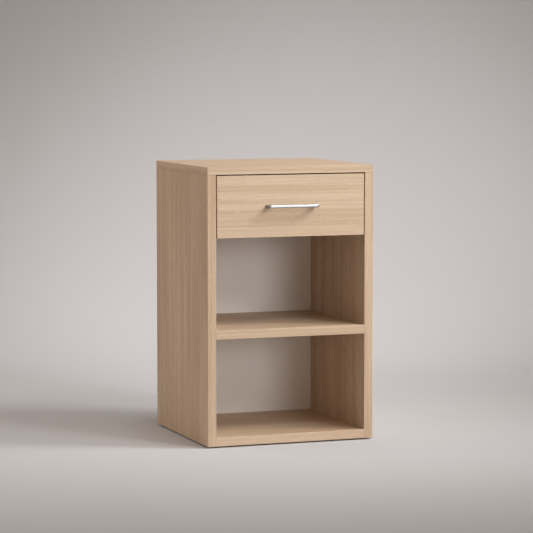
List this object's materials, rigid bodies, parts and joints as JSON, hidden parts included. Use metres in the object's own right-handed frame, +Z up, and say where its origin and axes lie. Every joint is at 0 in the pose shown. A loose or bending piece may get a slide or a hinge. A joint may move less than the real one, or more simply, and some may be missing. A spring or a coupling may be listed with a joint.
{
  "type": "nightstand with drawer",
  "caption": "Narrow oak-veneered nightstand: a drawer on roller runners with a bar handle, above two open bays divided by a fixed shelf, on plastic glides.",
  "frame": {"origin": "on the floor, at the middle of the whole footprint with the handle included", "axes": "+Z up, the drawer opens towards -Y, +X to the right as seen from the front"},
  "size_m": [0.35, 0.349, 0.554],
  "materials": {
    "oak_veneered_board": "satin lacquered pale oak veneer on particleboard",
    "oak_edge_band": "satin pale oak edge band",
    "white_hardboard": "white painted face, raw brown rear",
    "drawer_board": "pale foil on particleboard",
    "drawer_bottom_board": "thin foiled hardboard",
    "zinc": "dull die-cast zinc",
    "plated_steel": "bright zinc-plated steel",
    "beech": "raw beech",
    "glide_plastic": "dark brown moulded plastic",
    "runner_enamel": "pale epoxy-coated steel",
    "roller_nylon": "white nylon",
    "satin_handle_metal": "satin nickel plate"
  },
  "bodies": {
    "cabinet": {"top_panel": "oak_veneered_board", "top_edge_bands": "oak_edge_band", "side_panel_left": "oak_veneered_board", "side_panel_right": "oak_veneered_board", "side_edge_band_left": "oak_edge_band", "side_edge_band_right": "oak_edge_band", "shelf_panel": "oak_veneered_board", "shelf_edge_band": "oak_edge_band", "bottom_panel": "oak_veneered_board", "bottom_edge_band": "oak_edge_band", "back_panel": "white_hardboard", "top_cam_locks": "zinc", "top_cam_bolts": "plated_steel", "top_dowels": "beech", "shelf_cam_locks": "zinc", "shelf_cam_bolts": "plated_steel", "shelf_dowels": "beech", "bottom_cam_locks": "zinc", "bottom_cam_bolts": "plated_steel", "bottom_dowels": "beech", "floor_glides": "glide_plastic", "glide_nails": "plated_steel", "cabinet_runner_left": "runner_enamel", "cabinet_runner_right": "runner_enamel", "cabinet_runner_screws": "plated_steel", "cabinet_roller_rivets": "plated_steel"},
    "drawer": {"drawer_front": "oak_veneered_board", "drawer_front_edge_bands": "oak_edge_band", "drawer_side_left": "drawer_board", "drawer_side_right": "drawer_board", "drawer_back": "drawer_board", "drawer_bottom": "drawer_bottom_board", "drawer_cam_locks": "zinc", "drawer_cam_bolts": "plated_steel", "drawer_dowels": "beech", "drawer_back_screws": "plated_steel", "drawer_bottom_screws": "plated_steel", "drawer_runner_left": "runner_enamel", "drawer_runner_right": "runner_enamel", "drawer_runner_screws": "plated_steel", "drawer_roller_rivets": "plated_steel", "drawer_handle": "satin_handle_metal", "handle_screws": "plated_steel"},
    "cabinet_roller_left": {"cabinet_roller_left": "roller_nylon"},
    "cabinet_roller_right": {"cabinet_roller_right": "roller_nylon"},
    "drawer_roller_left": {"drawer_roller_left": "roller_nylon"},
    "drawer_roller_right": {"drawer_roller_right": "roller_nylon"}
  },
  "joints": [
    {"name": "drawer_slide", "type": "slide", "parent": "cabinet", "child": "drawer", "axis": [0, -1, 0], "range_m": [0, 0.19]},
    {"name": "cabinet_roller_left_spin", "type": "hinge", "parent": "cabinet", "child": "cabinet_roller_left", "pos_m": [-0.15075, -0.1235, 0.4333], "axis": [1, 0, 0], "range_deg": [-10, 1301]},
    {"name": "cabinet_roller_right_spin", "type": "hinge", "parent": "cabinet", "child": "cabinet_roller_right", "pos_m": [0.15075, -0.1235, 0.4333], "axis": [1, 0, 0], "range_deg": [-10, 1301]},
    {"name": "drawer_roller_left_spin", "type": "hinge", "parent": "drawer", "child": "drawer_roller_left", "pos_m": [-0.15075, 0.1005, 0.432], "axis": [1, 0, 0], "range_deg": [-10, 1471]},
    {"name": "drawer_roller_right_spin", "type": "hinge", "parent": "drawer", "child": "drawer_roller_right", "pos_m": [0.15075, 0.1005, 0.432], "axis": [1, 0, 0], "range_deg": [-10, 1471]}
  ],
  "couplings": [
    {"joint": "cabinet_roller_left_spin", "follows": "drawer_slide", "rad_per_m": 117.65},
    {"joint": "cabinet_roller_right_spin", "follows": "drawer_slide", "rad_per_m": 117.65},
    {"joint": "drawer_roller_left_spin", "follows": "drawer_slide", "rad_per_m": 133.33},
    {"joint": "drawer_roller_right_spin", "follows": "drawer_slide", "rad_per_m": 133.33}
  ]
}
